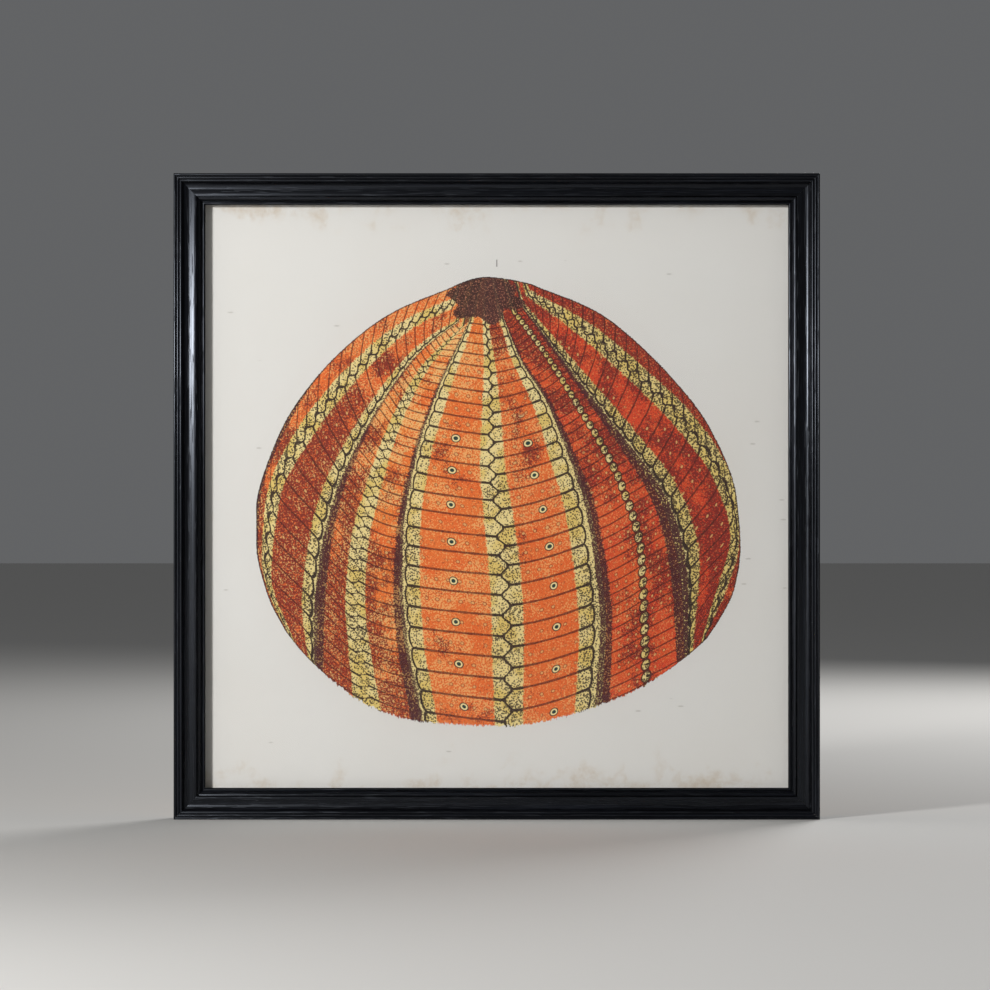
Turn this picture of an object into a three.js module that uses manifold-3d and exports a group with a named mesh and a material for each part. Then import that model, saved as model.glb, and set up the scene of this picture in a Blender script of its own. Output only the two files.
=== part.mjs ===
// Square framed art print: a mitred wood frame, the glazed print with its backing,
// and the hanging hardware on the back.
// Millimetres. X runs right, Y from the room towards the wall, Z up.
// The origin is the middle of the whole object.

import * as THREE from 'three';
import { mergeVertices } from 'three/addons/utils/BufferGeometryUtils.js';
import Module from 'manifold-3d';

const wasm = await Module();
wasm.setup();

// ---------------------------------------------------------------- driving dimensions

// Frame moulding
const FRAME_SIDE = 508;
const RAIL_WIDTH = 24.6;
const RAIL_DEPTH = 22;
const RABBET_WIDTH = 5.8;
const LIP_BACK = 7.4;
const MITRE_GAP = 0.2;

// Front of the moulding, as distances in from the outer edge and behind the front
const REED_COUNT = 3;
const REED_PITCH = 2.3;
const REED_HEIGHT = 0.8;
const HOLLOW_WIDTH = 11;
const HOLLOW_DROP = 3.1;
const BEAD_DEPTH = 1.3;
const QUIRK_WIDTH = 0.8;
const QUIRK_DEPTH = 2.4;
const FILLET_WIDTH = 1.2;
const FILLET_DEPTH = 1.9;
const SLOPE_WIDTH = 2.6;
const SLOPE_FOOT = 5.1;
const LIP_ROUND = 0.7;
const LIP_CREST = 4.5;
const SIGHT_EDGE = 5.4;

// The stack in the rabbet
const LAYER_GAP = 0.1;
const STACK_CLEARANCE = 0.5;
const GLAZING_THICKNESS = 2;
const SPACER_WIDTH = 4.6;
const SPACER_THICKNESS = 4;
const SHEET_THICKNESS = 0.4;
const BACKING_THICKNESS = 3;

// Fasteners in the rails
const FIT_GAP = 0.3;
const POINT_SPACING = 150;
const POINT_WIDTH = 10;
const POINT_THICKNESS = 0.4;
const POINT_IN_WOOD = 6;
const POINT_OVER_BOARD = 8;
const POINT_TIP = 3;
const V_NAIL_DISTANCES = [6.5, 14];
const V_NAIL_LEG = 4.5;
const V_NAIL_THICKNESS = 0.5;
const V_NAIL_LENGTH = 10;

// Back of the frame
const COVER_THICKNESS = 0.3;
const COVER_INSET = 3;
const BUMPER_RADIUS = 6;
const BUMPER_THICKNESS = 4.5;
const BUMPER_INSET = 10;
const BUMPER_ROUND = 0.8;

// Hangers
const HANGER_INSET = 9.4;
const RING_BAR_HEIGHT = 110;
const WIRE_RADIUS = 1.1;
const RING_HALF_WIDTH = 7;
const RING_CORNER = 2.2;
const RING_SIDE = 5;
const RING_BUTT_GAP = 0.3;
const STRAP_WIDTH = 9;
const STRAP_THICKNESS = 0.8;
const STRAP_LENGTH = 35;
const CURL_END_ANGLE = THREE.MathUtils.degToRad(200);
const SCREW_DROPS = { upper: 19, lower: 29 };
const SHANK_RADIUS = 1.5;
const SHANK_LENGTH = 13;
const SCREW_POINT = 3.5;
const HEAD_RADIUS = 3.1;
const HEAD_RIM = 0.6;
const HEAD_HEIGHT = 1.9;
const RECESS_SPAN = 3.4;
const RECESS_WIDTH = 0.8;
const RECESS_DEPTH = 1.1;

// ---------------------------------------------------------------- derived dimensions

const HALF_SIDE = FRAME_SIDE / 2;
const QUARTER_TURN = Math.PI / 2;
const RABBET_WALL = RAIL_WIDTH - RABBET_WIDTH;
const STACK_SIDE = FRAME_SIDE - 2 * (RABBET_WALL + STACK_CLEARANCE);

// Depths behind the front of the frame
const GLAZING_FRONT = LIP_BACK + LAYER_GAP;
const SPACER_FRONT = GLAZING_FRONT + GLAZING_THICKNESS + LAYER_GAP;
const SHEET_FRONT = SPACER_FRONT + SPACER_THICKNESS + LAYER_GAP;
const BACKING_FRONT = SHEET_FRONT + SHEET_THICKNESS + LAYER_GAP;
const POINT_FRONT = BACKING_FRONT + BACKING_THICKNESS + LAYER_GAP;
const COVER_FRONT = RAIL_DEPTH + LAYER_GAP;
const COVER_BACK = COVER_FRONT + COVER_THICKNESS;
const HARDWARE_FRONT = COVER_BACK + LAYER_GAP;
const TOTAL_DEPTH = HARDWARE_FRONT + BUMPER_THICKNESS;
const FRONT_Y = -TOTAL_DEPTH / 2;

const LOOP_INNER = WIRE_RADIUS + FIT_GAP;
const LOOP_OUTER = LOOP_INNER + STRAP_THICKNESS;
const RING_BAR_DEPTH = HARDWARE_FRONT + LOOP_OUTER;
const RING_REACH = RING_SIDE + RING_HALF_WIDTH;
const RING_TOP_DEPTH = COVER_BACK + FIT_GAP + WIRE_RADIUS;
const RING_LEAN = Math.asin((RING_BAR_DEPTH - RING_TOP_DEPTH) / RING_REACH);
const HANGER_X = HALF_SIDE - HANGER_INSET;

// Turn about Y that brings a piece drawn on the bottom rail to each side
const SIDE_TURNS = {
  bottom: 0,
  right: -QUARTER_TURN,
  top: 2 * QUARTER_TURN,
  left: QUARTER_TURN,
};

// Turn about Y that brings a piece drawn in the bottom left corner to each corner
const CORNER_TURNS = {
  bottom_left: 0,
  top_left: QUARTER_TURN,
  top_right: 2 * QUARTER_TURN,
  bottom_right: -QUARTER_TURN,
};

// ---------------------------------------------------------------- materials

const COLOURS = {
  stainedWood: [0x0b0b0e, 0.42, 0],
  glazing: [0xf4f8f8, 0.04, 0],
  spacer: [0x141414, 0.8, 0],
  paper: [0xcfc8b8, 0.9, 0],
  board: [0xb7a888, 0.85, 0],
  kraft: [0x9a7650, 0.88, 0],
  zincSteel: [0xb4b6b8, 0.36, 1],
  nailSteel: [0x85888c, 0.5, 1],
  rubber: [0x1c1c1c, 0.75, 0],
};

function material(name) {
  const [color, roughness, metalness] = COLOURS[name];
  return new THREE.MeshStandardMaterial({ color, roughness, metalness });
}

function makeMesh(name, geometry, finish) {
  const mesh = new THREE.Mesh(geometry, material(finish));
  mesh.name = name;
  return mesh;
}

// ---------------------------------------------------------------- solids

function toSolid(geometry) {
  const bare = geometry.clone();
  bare.deleteAttribute('normal');
  bare.deleteAttribute('uv');
  const merged = mergeVertices(bare, 1e-4);
  return new wasm.Manifold(new wasm.Mesh({
    numProp: 3,
    vertProperties: Float32Array.from(merged.attributes.position.array),
    triVerts: Uint32Array.from(merged.index.array),
  }));
}

function toGeometry(solid) {
  const cut = solid.getMesh();
  const geometry = new THREE.BufferGeometry();
  geometry.setAttribute('position', new THREE.BufferAttribute(cut.vertProperties, 3));
  geometry.setIndex(new THREE.BufferAttribute(cut.triVerts, 1));
  geometry.computeVertexNormals();
  return geometry;
}

function cutAway(geometry, cutters) {
  return toGeometry(cutters.reduce((solid, cutter) => solid.subtract(toSolid(cutter)), toSolid(geometry)));
}

// A box between two corners
function boxBetween(low, high) {
  const size = high.map((value, axis) => value - low[axis]);
  const middle = high.map((value, axis) => (value + low[axis]) / 2);
  return new THREE.BoxGeometry(...size).translate(...middle);
}

// A cylinder along Y from one depth to another
function cylinderAlongDepth(x, z, radius, nearDepth, farDepth, sides = 20) {
  const length = farDepth - nearDepth;
  const cylinder = new THREE.CylinderGeometry(radius, radius, length, sides);
  return cylinder.translate(x, FRONT_Y + (nearDepth + farDepth) / 2, z);
}

// A flat sheet across the frame, from the XZ outline given as a shape
function sheetAtDepth(shape, frontDepth, thickness) {
  const sheet = new THREE.ExtrudeGeometry(shape, { depth: thickness, bevelEnabled: false, curveSegments: 5 });
  sheet.rotateX(QUARTER_TURN);
  return sheet.translate(0, FRONT_Y + frontDepth + thickness, 0);
}

// A section drawn as (height, depth), swept along X and centred on x = 0
function sweepAlongX(section, length, curveSegments) {
  const sweep = new THREE.ExtrudeGeometry(section, { depth: length, bevelEnabled: false, curveSegments });
  const toRail = new THREE.Matrix4().makeBasis(
    new THREE.Vector3(0, 0, 1),
    new THREE.Vector3(0, 1, 0),
    new THREE.Vector3(-1, 0, 0),
  );
  return sweep.applyMatrix4(toRail).translate(length / 2, 0, 0);
}

function centredSquare(side) {
  const shape = new THREE.Shape();
  shape.moveTo(-side / 2, -side / 2);
  shape.lineTo(side / 2, -side / 2);
  shape.lineTo(side / 2, side / 2);
  shape.lineTo(-side / 2, side / 2);
  shape.closePath();
  return shape;
}

// ---------------------------------------------------------------- the frame's rails

// The moulding's section: x in from the outer edge, y behind the front
function railSection() {
  const section = new THREE.Shape();
  let across = 0;
  section.moveTo(0, RAIL_DEPTH);
  section.lineTo(0, REED_HEIGHT);
  for (let reed = 0; reed < REED_COUNT; reed += 1) {
    section.quadraticCurveTo(across + REED_PITCH / 2, -REED_HEIGHT, across + REED_PITCH, REED_HEIGHT);
    across += REED_PITCH;
  }
  section.quadraticCurveTo(across + HOLLOW_WIDTH / 2, 2 * HOLLOW_DROP, across + HOLLOW_WIDTH, BEAD_DEPTH);
  across += HOLLOW_WIDTH;
  section.lineTo(across + QUIRK_WIDTH / 2, QUIRK_DEPTH);
  section.lineTo(across + QUIRK_WIDTH, FILLET_DEPTH);
  across += QUIRK_WIDTH + FILLET_WIDTH;
  section.lineTo(across, FILLET_DEPTH);
  section.quadraticCurveTo(across + SLOPE_WIDTH / 2, FILLET_DEPTH, across + SLOPE_WIDTH, SLOPE_FOOT);
  across += SLOPE_WIDTH;
  section.quadraticCurveTo(across, LIP_CREST, across + LIP_ROUND, LIP_CREST);
  section.lineTo(RAIL_WIDTH, SIGHT_EDGE);
  section.lineTo(RAIL_WIDTH, LIP_BACK);
  section.lineTo(RABBET_WALL, LIP_BACK);
  section.lineTo(RABBET_WALL, RAIL_DEPTH);
  section.closePath();
  return section;
}

// The bottom rail, its ends cut back at 45 degrees, its section's outer edge on z = -HALF_SIDE
function mitredRail() {
  const rail = sweepAlongX(railSection(), FRAME_SIDE, 8);
  const position = rail.attributes.position;
  for (let index = 0; index < position.count; index += 1) {
    const inward = position.getZ(index);
    const endX = HALF_SIDE - inward - MITRE_GAP / Math.SQRT2;
    position.setX(index, Math.sign(position.getX(index)) * endX);
  }
  return rail.translate(0, FRONT_Y, -HALF_SIDE);
}

function pointSlot(x) {
  const wallZ = -HALF_SIDE + RABBET_WALL;
  const halfWidth = POINT_WIDTH / 2 + FIT_GAP;
  const nearY = FRONT_Y + POINT_FRONT - FIT_GAP;
  const farY = FRONT_Y + POINT_FRONT + POINT_THICKNESS + FIT_GAP;
  return boxBetween(
    [x - halfWidth, nearY, wallZ - POINT_IN_WOOD - FIT_GAP],
    [x + halfWidth, farY, wallZ + 1],
  );
}

// The part of a V-nail's slot that lies in the bottom rail, at the end that side (-1 or 1) names
function vNailSlot(side, distance) {
  const halfSlot = V_NAIL_THICKNESS / 2 + FIT_GAP;
  const x = side * (HALF_SIDE - distance);
  const z = -HALF_SIDE + distance;
  return boxBetween(
    [x - halfSlot, FRONT_Y + RAIL_DEPTH - V_NAIL_LENGTH - 1, z - V_NAIL_LEG - FIT_GAP],
    [x + halfSlot, FRONT_Y + RAIL_DEPTH + 1, z + halfSlot],
  );
}

function screwHole(alongRail) {
  const tipDepth = HARDWARE_FRONT + STRAP_THICKNESS - SHANK_LENGTH;
  const z = -HALF_SIDE + HANGER_INSET;
  return cylinderAlongDepth(alongRail, z, SHANK_RADIUS + FIT_GAP, tipDepth - 1, RAIL_DEPTH + 1);
}

// Where the screws cross a rail, along it from its middle; only the upright rails hold them
function screwPlaces(side) {
  const signs = { left: -1, right: 1 };
  if (!(side in signs)) {
    return [];
  }
  return Object.values(SCREW_DROPS).map((drop) => signs[side] * (RING_BAR_HEIGHT - drop));
}

function pointPlaces() {
  return [-POINT_SPACING, 0, POINT_SPACING];
}

function railGeometry(side) {
  const slots = pointPlaces().map(pointSlot);
  for (const end of [-1, 1]) {
    slots.push(...V_NAIL_DISTANCES.map((distance) => vNailSlot(end, distance)));
  }
  return cutAway(mitredRail(), [...slots, ...screwPlaces(side).map(screwHole)]);
}

// ---------------------------------------------------------------- pieces beside each rail

// Strips go round pinwheel fashion: one end of each butts on the side of the next
function spacerGeometry() {
  const half = STACK_SIDE / 2;
  return boxBetween(
    [-half, FRONT_Y + SPACER_FRONT, -half],
    [half - SPACER_WIDTH - FIT_GAP, FRONT_Y + SPACER_FRONT + SPACER_THICKNESS, -half + SPACER_WIDTH],
  );
}

// A flat steel tab, pointed at both ends, half in the wood and half over the backing
function pointGeometry(x) {
  const wallZ = -HALF_SIDE + RABBET_WALL;
  const half = POINT_WIDTH / 2;
  const low = wallZ - POINT_IN_WOOD;
  const high = wallZ + POINT_OVER_BOARD;
  const tab = new THREE.Shape();
  tab.moveTo(x, low);
  tab.lineTo(x + half, low + POINT_TIP);
  tab.lineTo(x + half, high - POINT_TIP);
  tab.lineTo(x, high);
  tab.lineTo(x - half, high - POINT_TIP);
  tab.lineTo(x - half, low + POINT_TIP);
  tab.closePath();
  return sheetAtDepth(tab, POINT_FRONT, POINT_THICKNESS);
}

// Everything that belongs to one side, drawn at the bottom and turned into place
function makeSide(side) {
  const group = new THREE.Group();
  group.add(makeMesh(`rail_${side}`, railGeometry(side), 'stainedWood'));
  group.add(makeMesh(`spacer_${side}`, spacerGeometry(), 'spacer'));
  pointPlaces().forEach((x, index) => {
    group.add(makeMesh(`point_${side}_${index + 1}`, pointGeometry(x), 'nailSteel'));
  });
  group.rotation.y = SIDE_TURNS[side];
  return group;
}

// ---------------------------------------------------------------- pieces in each corner

// A right-angled strip whose legs each lie in one rail, its apex on the mitre
function vNailGeometry(distance) {
  const apex = -HALF_SIDE + distance + V_NAIL_THICKNESS / 2;
  const inner = apex - V_NAIL_THICKNESS;
  const end = apex - V_NAIL_THICKNESS / 2 - V_NAIL_LEG;
  const nail = new THREE.Shape();
  nail.moveTo(apex, apex);
  nail.lineTo(end, apex);
  nail.lineTo(end, inner);
  nail.lineTo(inner, inner);
  nail.lineTo(inner, end);
  nail.lineTo(apex, end);
  nail.closePath();
  return sheetAtDepth(nail, RAIL_DEPTH - V_NAIL_LENGTH - FIT_GAP, V_NAIL_LENGTH);
}

function bumperGeometry() {
  const profile = new THREE.Path();
  profile.moveTo(0, 0);
  profile.lineTo(BUMPER_RADIUS, 0);
  profile.lineTo(BUMPER_RADIUS, BUMPER_THICKNESS - BUMPER_ROUND);
  profile.absarc(BUMPER_RADIUS - BUMPER_ROUND, BUMPER_THICKNESS - BUMPER_ROUND, BUMPER_ROUND, 0, QUARTER_TURN);
  profile.lineTo(0, BUMPER_THICKNESS);
  return new THREE.LatheGeometry(profile.getPoints(4), 32);
}

function makeCorner(corner) {
  const group = new THREE.Group();
  V_NAIL_DISTANCES.forEach((distance, index) => {
    group.add(makeMesh(`v_nail_${corner}_${index + 1}`, vNailGeometry(distance), 'nailSteel'));
  });
  const bumper = makeMesh(`bumper_${corner}`, bumperGeometry(), 'rubber');
  const place = -HALF_SIDE + BUMPER_INSET;
  bumper.position.set(place, FRONT_Y + HARDWARE_FRONT, place);
  group.add(bumper);
  group.rotation.y = CORNER_TURNS[corner];
  return group;
}

// ---------------------------------------------------------------- the stack in the rabbet

function dustCoverShape() {
  const cover = centredSquare(FRAME_SIDE - 2 * COVER_INSET);
  for (const sideX of [-HANGER_X, HANGER_X]) {
    for (const drop of Object.values(SCREW_DROPS)) {
      const hole = new THREE.Path();
      hole.absarc(sideX, RING_BAR_HEIGHT - drop, SHANK_RADIUS + FIT_GAP, 0, 2 * Math.PI, true);
      cover.holes.push(hole);
    }
  }
  return cover;
}

function makeStack() {
  const group = new THREE.Group();
  const layer = (name, side, front, thickness, finish) => {
    group.add(makeMesh(name, sheetAtDepth(centredSquare(side), front, thickness), finish));
  };
  layer('glazing', STACK_SIDE, GLAZING_FRONT, GLAZING_THICKNESS, 'glazing');
  layer('print_sheet', STACK_SIDE, SHEET_FRONT, SHEET_THICKNESS, 'paper');
  layer('backing_board', STACK_SIDE, BACKING_FRONT, BACKING_THICKNESS, 'board');
  const cover = sheetAtDepth(dustCoverShape(), COVER_FRONT, COVER_THICKNESS);
  group.add(makeMesh('dust_cover', cover, 'kraft'));
  return group;
}

// ---------------------------------------------------------------- hangers

// A flat path stood up in the XZ plane, for a wire to follow
class UprightPath extends THREE.Curve {
  constructor(path) {
    super();
    this.path = path;
  }

  getPoint(t, target = new THREE.Vector3()) {
    const point = this.path.getPoint(t);
    return target.set(point.x, 0, point.y);
  }
}

// A D of bent wire: the bar lies on the X axis and its two ends butt inside the strap
function ringGeometry() {
  const wire = new THREE.Path();
  wire.moveTo(RING_BUTT_GAP / 2, 0);
  wire.lineTo(RING_HALF_WIDTH - RING_CORNER, 0);
  wire.absarc(RING_HALF_WIDTH - RING_CORNER, RING_CORNER, RING_CORNER, -QUARTER_TURN, 0);
  wire.lineTo(RING_HALF_WIDTH, RING_SIDE);
  wire.absarc(0, RING_SIDE, RING_HALF_WIDTH, 0, Math.PI);
  wire.lineTo(-RING_HALF_WIDTH, RING_CORNER);
  wire.absarc(-RING_HALF_WIDTH + RING_CORNER, RING_CORNER, RING_CORNER, Math.PI, 3 * QUARTER_TURN);
  wire.lineTo(-RING_BUTT_GAP / 2, 0);
  const section = new THREE.Shape().absarc(0, 0, WIRE_RADIUS, 0, 2 * Math.PI);
  return new THREE.ExtrudeGeometry(section, {
    steps: 64,
    curveSegments: 12,
    bevelEnabled: false,
    extrudePath: new UprightPath(wire),
  });
}

// A strip whose upper end curls round the ring's bar: x is height from the bar, y is off the cover
function strapSection() {
  const section = new THREE.Shape();
  section.moveTo(-STRAP_LENGTH, 0);
  section.lineTo(0, 0);
  section.absarc(0, LOOP_OUTER, LOOP_OUTER, -QUARTER_TURN, CURL_END_ANGLE);
  section.lineTo(
    LOOP_INNER * Math.cos(CURL_END_ANGLE),
    LOOP_OUTER + LOOP_INNER * Math.sin(CURL_END_ANGLE),
  );
  section.absarc(0, LOOP_OUTER, LOOP_INNER, CURL_END_ANGLE, -QUARTER_TURN, true);
  section.lineTo(-STRAP_LENGTH, STRAP_THICKNESS);
  section.closePath();
  return section;
}

function strapGeometry(sideX) {
  const strap = sweepAlongX(strapSection(), STRAP_WIDTH, 24);
  strap.translate(sideX, FRONT_Y + HARDWARE_FRONT, RING_BAR_HEIGHT);
  const holes = Object.values(SCREW_DROPS).map((drop) => cylinderAlongDepth(
    sideX,
    RING_BAR_HEIGHT - drop,
    SHANK_RADIUS + FIT_GAP,
    HARDWARE_FRONT - 1,
    HARDWARE_FRONT + STRAP_THICKNESS + 1,
  ));
  return cutAway(strap, holes);
}

// A pan-head wood screw on the Y axis, its head's underside at y = 0
function screwGeometry() {
  const profile = new THREE.Path();
  profile.moveTo(0, -SHANK_LENGTH);
  profile.lineTo(SHANK_RADIUS, SCREW_POINT - SHANK_LENGTH);
  profile.lineTo(SHANK_RADIUS, 0);
  profile.lineTo(HEAD_RADIUS, 0);
  profile.lineTo(HEAD_RADIUS, HEAD_RIM);
  profile.quadraticCurveTo(HEAD_RADIUS, HEAD_HEIGHT, 0, HEAD_HEIGHT);
  const screw = new THREE.LatheGeometry(profile.getPoints(6), 24);
  const bottom = HEAD_HEIGHT - RECESS_DEPTH;
  const long = RECESS_SPAN / 2;
  const short = RECESS_WIDTH / 2;
  return cutAway(screw, [
    boxBetween([-long, bottom, -short], [long, HEAD_HEIGHT + 1, short]),
    boxBetween([-short, bottom, -long], [short, HEAD_HEIGHT + 1, long]),
  ]);
}

function makeHanger(side) {
  const group = new THREE.Group();
  const sideX = side === 'left' ? -HANGER_X : HANGER_X;
  group.add(makeMesh(`hanger_strap_${side}`, strapGeometry(sideX), 'zincSteel'));

  const ring = makeMesh(`d_ring_${side}`, ringGeometry(), 'zincSteel');
  ring.position.set(sideX, FRONT_Y + RING_BAR_DEPTH, RING_BAR_HEIGHT);
  ring.rotation.x = RING_LEAN;
  group.add(ring);

  for (const [place, drop] of Object.entries(SCREW_DROPS)) {
    const screw = makeMesh(`screw_${side}_${place}`, screwGeometry(), 'zincSteel');
    const seat = FRONT_Y + HARDWARE_FRONT + STRAP_THICKNESS + LAYER_GAP;
    screw.position.set(sideX, seat, RING_BAR_HEIGHT - drop);
    group.add(screw);
  }
  return group;
}

// ---------------------------------------------------------------- assembly

const group = new THREE.Group();
Object.keys(SIDE_TURNS).forEach((side) => group.add(makeSide(side)));
Object.keys(CORNER_TURNS).forEach((corner) => group.add(makeCorner(corner)));
group.add(makeStack());
group.add(makeHanger('left'));
group.add(makeHanger('right'));

export default group;
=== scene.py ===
import math

import bmesh
import bpy
import numpy as np
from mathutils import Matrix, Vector


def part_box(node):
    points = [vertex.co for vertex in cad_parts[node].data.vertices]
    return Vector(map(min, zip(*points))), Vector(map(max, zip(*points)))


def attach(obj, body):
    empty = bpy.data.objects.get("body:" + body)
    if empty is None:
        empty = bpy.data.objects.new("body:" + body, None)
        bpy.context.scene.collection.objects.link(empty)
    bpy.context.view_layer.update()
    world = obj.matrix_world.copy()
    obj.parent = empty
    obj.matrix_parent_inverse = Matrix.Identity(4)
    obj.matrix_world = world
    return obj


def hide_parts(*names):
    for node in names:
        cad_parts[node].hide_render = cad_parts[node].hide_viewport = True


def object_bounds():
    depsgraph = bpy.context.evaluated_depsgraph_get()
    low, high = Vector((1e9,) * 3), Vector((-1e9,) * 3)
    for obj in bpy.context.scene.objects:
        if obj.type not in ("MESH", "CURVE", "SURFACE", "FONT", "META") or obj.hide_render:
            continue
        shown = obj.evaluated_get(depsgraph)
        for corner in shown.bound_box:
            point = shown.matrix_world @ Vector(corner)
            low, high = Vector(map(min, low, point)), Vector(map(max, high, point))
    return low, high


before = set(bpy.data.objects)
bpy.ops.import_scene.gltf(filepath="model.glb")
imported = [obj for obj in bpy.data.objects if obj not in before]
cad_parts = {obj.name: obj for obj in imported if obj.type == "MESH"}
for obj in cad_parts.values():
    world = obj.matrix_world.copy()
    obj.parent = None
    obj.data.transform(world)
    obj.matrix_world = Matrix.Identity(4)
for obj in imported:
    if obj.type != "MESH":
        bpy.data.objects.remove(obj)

bl_info = {
    "name": "Framed Urchin Print",
    "version": (1, 0, 0),
    "blender": (4, 5, 0),
    "location": "3D View > Sidebar > Framed Print",
    "description": "Builds a square framed art print round its packed frame",
    "category": "Add Mesh",
}

MM = 0.001
CAD_LOW, CAD_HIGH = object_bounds()
BODY = "frame"
CORNERS = ("bottom_left", "top_left", "top_right", "bottom_right")
HANDS = ("left", "right")

# The whole frame, from its rails
FRAME_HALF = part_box("rail_right")[1].x
FRONT_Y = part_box("rail_bottom")[0].y
RAIL_BACK_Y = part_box("rail_bottom")[1].y
RAIL_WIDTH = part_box("rail_bottom")[1].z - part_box("rail_bottom")[0].z

# Places closer than this count as the same
NEAR = 1e-6
# Between a ring's bar and the strap's curl round it
RING_CLEARANCE = 0.3 * MM

# The moulding's face. The scoop's depths behind the front are in millimetres, at equal steps from
# the reeds to the quirk: a hollow that turns into a low roll. The fillet and the lip are lists of
# (share of its width, millimetres below its crest).
REEDS = 3
REED_STEPS, SCOOP_STEPS, SLOPE_STEPS = 10, 22, 6
SCOOP_DEPTHS = (0.8, 2.5, 3.2, 3.4, 3.15, 2.55, 1.95, 1.48, 1.3)
FILLET_PROFILE = ((0.0, 0.35), (0.25, 0.06), (0.55, 0.0), (1.0, 0.15))
LIP_PROFILE = ((0.2, 0.12), (0.42, 0.0), (0.62, 0.12))
MITRE_HAIRLINE = 0.03 * MM

# Where the lamps stand, and how far the camera is off the middle, in metres
KEY_PLACE, BACK_PLACE = (-1.35, -1.75, 0.5), (1.1, 1.9, 1.2)
CAMERA_X, CAMERA_Z = -0.0014, 0.0011


# ---------------------------------------------------------------- settings


def length(name, description, millimetres):
    return bpy.props.FloatProperty(
        name=name, description=description, default=millimetres * MM, unit="LENGTH", precision=5
    )


def linear(red, green, blue):
    """A display colour, 0 to 255, as the linear colour that shaders use."""
    return tuple(
        value / 255 / 12.92 if value <= 10 else ((value / 255 + 0.055) / 1.055) ** 2.4
        for value in (red, green, blue)
    )


def shade(name, description, red, green, blue):
    return bpy.props.FloatVectorProperty(
        name=name, description=description, default=linear(red, green, blue),
        min=0.0, max=1.0, size=3, subtype="COLOR",
    )


class PrintRailSettings(bpy.types.PropertyGroup):
    reed_pitch: length("Reed pitch", "Width of each of the three reeds", 2.3)
    reed_height: length("Reed height", "How far a reed stands above its grooves", 0.8)
    hollow_width: length("Hollow width", "Width of the scooped hollow", 11.0)
    quirk_width: length("Quirk width", "Width of the sunk line beside the bead", 0.8)
    quirk_depth: length("Quirk depth", "Depth of that line behind the front", 2.5)
    fillet_width: length("Fillet width", "Width of the flat beside that line", 1.2)
    fillet_depth: length("Fillet depth", "Depth of the flat behind the front", 1.9)
    slope_width: length("Slope width", "Width of the slope down to the lip", 2.6)
    slope_foot: length("Slope foot", "Depth of the slope's foot", 5.1)
    lip_crest: length("Lip crest", "Depth of the lip's crest", 4.5)
    sight_edge: length("Sight edge", "Depth of the edge round the print", 5.4)
    lip_back: length("Lip back", "Depth of the lip's back, where the glass rests", 7.4)
    rabbet_width: length("Rabbet width", "How far the lip covers the glass", 5.8)
    edge_round: length("Edge round", "Rounding on the sharp edges", 0.18)
    stain: shade("Stain", "The black stain on the wood", 6, 6, 8)
    worn: shade("Grain colour", "Where the stain is thin along the grain", 19, 21, 27)


class PrintArtSettings(bpy.types.PropertyGroup):
    line_width: length("Line width", "Half the width of the inked outlines", 0.82)
    wobble: length("Wobble", "How far a drawn line wanders", 0.55)
    paper: shade("Paper", "The paper's own colour", 219, 218, 214)
    stained_paper: shade("Foxing", "Brown age marks on the paper", 186, 162, 128)
    orange: shade("Orange ink", "Main colour of the plates", 226, 104, 40)
    light_orange: shade("Light orange ink", "Lighter patches of the plates", 234, 132, 54)
    red: shade("Red ink", "Redder plates on the right", 210, 68, 33)
    brick: shade("Brick ink", "Dark red mottling", 112, 28, 24)
    sand: shade("Sand ink", "Light flecks on the plates", 236, 186, 116)
    yellow: shade("Yellow ink", "The cells beside the seams", 218, 192, 108)
    pale: shade("Pale ink", "The narrow strips at the plates' ends", 232, 216, 156)
    line: shade("Line ink", "The drawn lines and dots", 46, 27, 22)
    brown: shade("Brown ink", "The lines that cross the orange", 78, 24, 16)
    purple: shade("Purple ink", "The bands between the columns", 72, 30, 34)
    pore: shade("Pore ink", "The dark middle of each ring", 30, 58, 54)
    crown: shade("Crown ink", "The dark patch at the shell's top", 52, 24, 20)
    crown_light: shade("Light crown ink", "Lighter parts of that patch", 84, 46, 44)
    crown_fleck: shade("Crown flecks", "Pale flecks on that patch", 190, 128, 96)
    speck: shade("Specks", "Small marks on the bare paper", 120, 110, 96)


class PrintStageSettings(bpy.types.PropertyGroup):
    floor_colour: shade("Floor", "Colour of the studio floor", 208, 206, 202)
    key_power: bpy.props.FloatProperty(
        name="Key light", description="Power of the main lamp", default=45.0, unit="POWER"
    )
    back_power: bpy.props.FloatProperty(
        name="Back light", description="Power of the lamp behind it", default=34.0, unit="POWER"
    )
    sky: bpy.props.FloatProperty(
        name="Room light", description="Strength of the even light all round", default=0.13, min=0.0
    )
    distance: bpy.props.FloatProperty(
        name="Camera distance", description="From camera to print", default=3.2, unit="LENGTH"
    )
    view_width: bpy.props.FloatProperty(
        name="View width", description="Width seen at the print", default=0.7778, unit="LENGTH"
    )


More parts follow.
